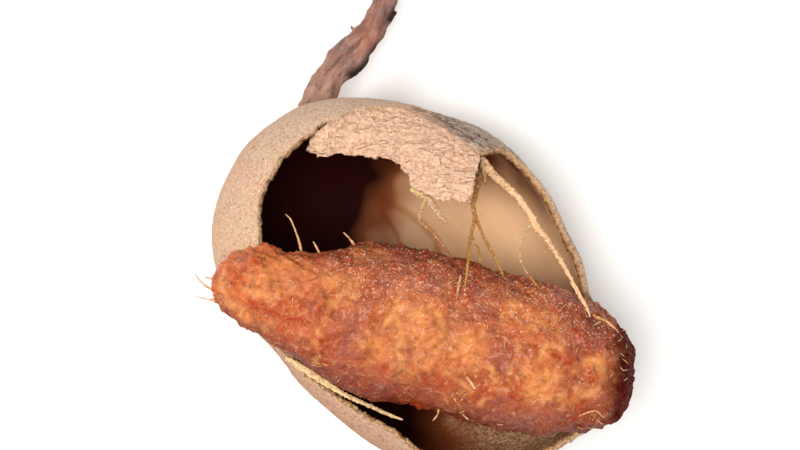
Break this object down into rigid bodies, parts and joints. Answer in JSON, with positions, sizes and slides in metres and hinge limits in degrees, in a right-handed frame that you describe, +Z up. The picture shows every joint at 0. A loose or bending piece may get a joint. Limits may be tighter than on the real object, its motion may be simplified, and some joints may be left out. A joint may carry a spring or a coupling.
{
  "type": "tamarind pod",
  "caption": "Short ripe pod lying on its back, its thin brittle husk broken open over sticky fibrous pulp, with a flap, a woody stalk and loose strands.",
  "frame": {"origin": "middle of the small flat spot that the husk rests on", "axes": "+Z up, out of the broken opening; +Y towards the stalk; +X to the right as seen from above with the stalk at the top"},
  "size_m": [0.0388, 0.0483, 0.0227],
  "materials": {
    "husk": "matte",
    "bark": "matte",
    "flesh": "satin",
    "fibre": "matte"
  },
  "bodies": {
    "root": {"shell": "husk", "stalk": "bark", "pulp": "flesh", "strand_main": "fibre", "strand_middle": "fibre", "strand_left": "fibre", "strand_stub": "fibre", "strand_rim": "fibre"}
  },
  "joints": []
}
